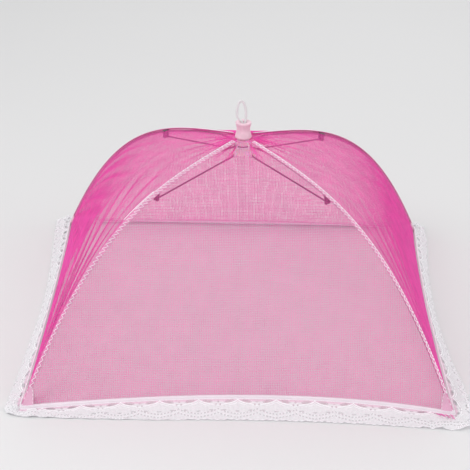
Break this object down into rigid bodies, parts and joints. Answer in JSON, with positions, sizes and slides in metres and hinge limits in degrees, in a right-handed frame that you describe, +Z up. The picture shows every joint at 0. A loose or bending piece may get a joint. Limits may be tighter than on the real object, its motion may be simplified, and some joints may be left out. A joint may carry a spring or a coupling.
{
  "type": "folding mesh food cover",
  "caption": "Square tent of fine net on sprung wire ribs that folds like an umbrella and keeps insects off food on a table.",
  "frame": {"origin": "on the table plane, under the crown, at the middle of the square base", "axes": "+Z up along the crown's axis; -Y towards the camera of the picture, the front panel; +X to its right"},
  "size_m": [0.468, 0.468, 0.2495],
  "materials": {
    "pink_net": "fine open net, hot pink",
    "white_tape": "thin woven tape, overlocked",
    "white_lace": "white raschel lace",
    "pink_plastic": "moulded, satin",
    "white_nylon": "moulded nylon",
    "rib_steel": "dark drawn wire",
    "cord_white": "braided cord"
  },
  "bodies": {
    "crown": {"crown_collar": "pink_plastic", "crown_hub": "white_nylon", "rib_pivot_ring": "rib_steel", "pull_loop": "cord_white", "net_right": "pink_net", "net_rear": "pink_net", "net_left": "pink_net", "net_front": "pink_net", "hem_band_right": "white_tape", "hem_band_rear": "white_tape", "hem_band_left": "white_tape", "hem_band_front": "white_tape", "lace_right": "white_lace", "lace_rear": "white_lace", "lace_left": "white_lace", "lace_front": "white_lace"},
    "rib_rear_right": {"rib_rear_right": "rib_steel", "rib_clip_rear_right": "rib_steel", "clip_rivet_rear_right": "rib_steel", "rib_tip_rear_right": "pink_plastic", "seam_tape_rear_right": "white_tape"},
    "rib_rear_left": {"rib_rear_left": "rib_steel", "rib_clip_rear_left": "rib_steel", "clip_rivet_rear_left": "rib_steel", "rib_tip_rear_left": "pink_plastic", "seam_tape_rear_left": "white_tape"},
    "rib_front_left": {"rib_front_left": "rib_steel", "rib_clip_front_left": "rib_steel", "clip_rivet_front_left": "rib_steel", "rib_tip_front_left": "pink_plastic", "seam_tape_front_left": "white_tape"},
    "rib_front_right": {"rib_front_right": "rib_steel", "rib_clip_front_right": "rib_steel", "clip_rivet_front_right": "rib_steel", "rib_tip_front_right": "pink_plastic", "seam_tape_front_right": "white_tape"},
    "stretcher_rear_right": {"stretcher_rear_right": "rib_steel"},
    "stretcher_rear_left": {"stretcher_rear_left": "rib_steel"},
    "stretcher_front_left": {"stretcher_front_left": "rib_steel"},
    "stretcher_front_right": {"stretcher_front_right": "rib_steel"},
    "runner": {"runner": "white_nylon"}
  },
  "joints": [
    {"name": "rib_hinge_front_left", "type": "hinge", "parent": "crown", "child": "rib_front_left", "pos_m": [-0.00693, -0.00693, 0.199], "axis": [0.7071, -0.7071, 0], "range_deg": [0, 46], "deforming": ["net_right", "net_rear", "net_left", "net_front", "hem_band_right", "hem_band_rear", "hem_band_left", "hem_band_front", "lace_right", "lace_rear", "lace_left", "lace_front"]},
    {"name": "rib_hinge_front_right", "type": "hinge", "parent": "crown", "child": "rib_front_right", "pos_m": [0.00693, -0.00693, 0.199], "axis": [0.7071, 0.7071, 0], "range_deg": [0, 46]},
    {"name": "rib_hinge_rear_right", "type": "hinge", "parent": "crown", "child": "rib_rear_right", "pos_m": [0.00693, 0.00693, 0.199], "axis": [-0.7071, 0.7071, 0], "range_deg": [0, 46]},
    {"name": "rib_hinge_rear_left", "type": "hinge", "parent": "crown", "child": "rib_rear_left", "pos_m": [-0.00693, 0.00693, 0.199], "axis": [-0.7071, -0.7071, 0], "range_deg": [0, 46]},
    {"name": "stretcher_hinge_front_left", "type": "hinge", "parent": "rib_front_left", "child": "stretcher_front_left", "pos_m": [-0.08803, -0.08803, 0.17154], "axis": [-0.7071, 0.7071, 0], "range_deg": [0, 114.74]},
    {"name": "stretcher_hinge_front_right", "type": "hinge", "parent": "rib_front_right", "child": "stretcher_front_right", "pos_m": [0.08803, -0.08803, 0.17154], "axis": [-0.7071, -0.7071, 0], "range_deg": [0, 114.74]},
    {"name": "stretcher_hinge_rear_right", "type": "hinge", "parent": "rib_rear_right", "child": "stretcher_rear_right", "pos_m": [0.08803, 0.08803, 0.17154], "axis": [0.7071, -0.7071, 0], "range_deg": [0, 114.74]},
    {"name": "stretcher_hinge_rear_left", "type": "hinge", "parent": "rib_rear_left", "child": "stretcher_rear_left", "pos_m": [-0.08803, 0.08803, 0.17154], "axis": [0.7071, 0.7071, 0], "range_deg": [0, 114.74]},
    {"name": "runner_slide", "type": "slide", "parent": "crown", "child": "runner", "axis": [0, 0, -1], "range_m": [0, 0.1893]}
  ],
  "couplings": [
    {"joint": "rib_hinge_front_right", "follows": "rib_hinge_front_left", "ratio": 1},
    {"joint": "rib_hinge_rear_right", "follows": "rib_hinge_front_left", "ratio": 1},
    {"joint": "rib_hinge_rear_left", "follows": "rib_hinge_front_left", "ratio": 1},
    {"joint": "stretcher_hinge_front_left", "follows": "rib_hinge_front_left", "ratio": 2.4941},
    {"joint": "stretcher_hinge_front_right", "follows": "rib_hinge_front_left", "ratio": 2.4941},
    {"joint": "stretcher_hinge_rear_right", "follows": "rib_hinge_front_left", "ratio": 2.4941},
    {"joint": "stretcher_hinge_rear_left", "follows": "rib_hinge_front_left", "ratio": 2.4941},
    {"joint": "runner_slide", "follows": "rib_hinge_front_left", "m_per_rad": 0.2356}
  ]
}
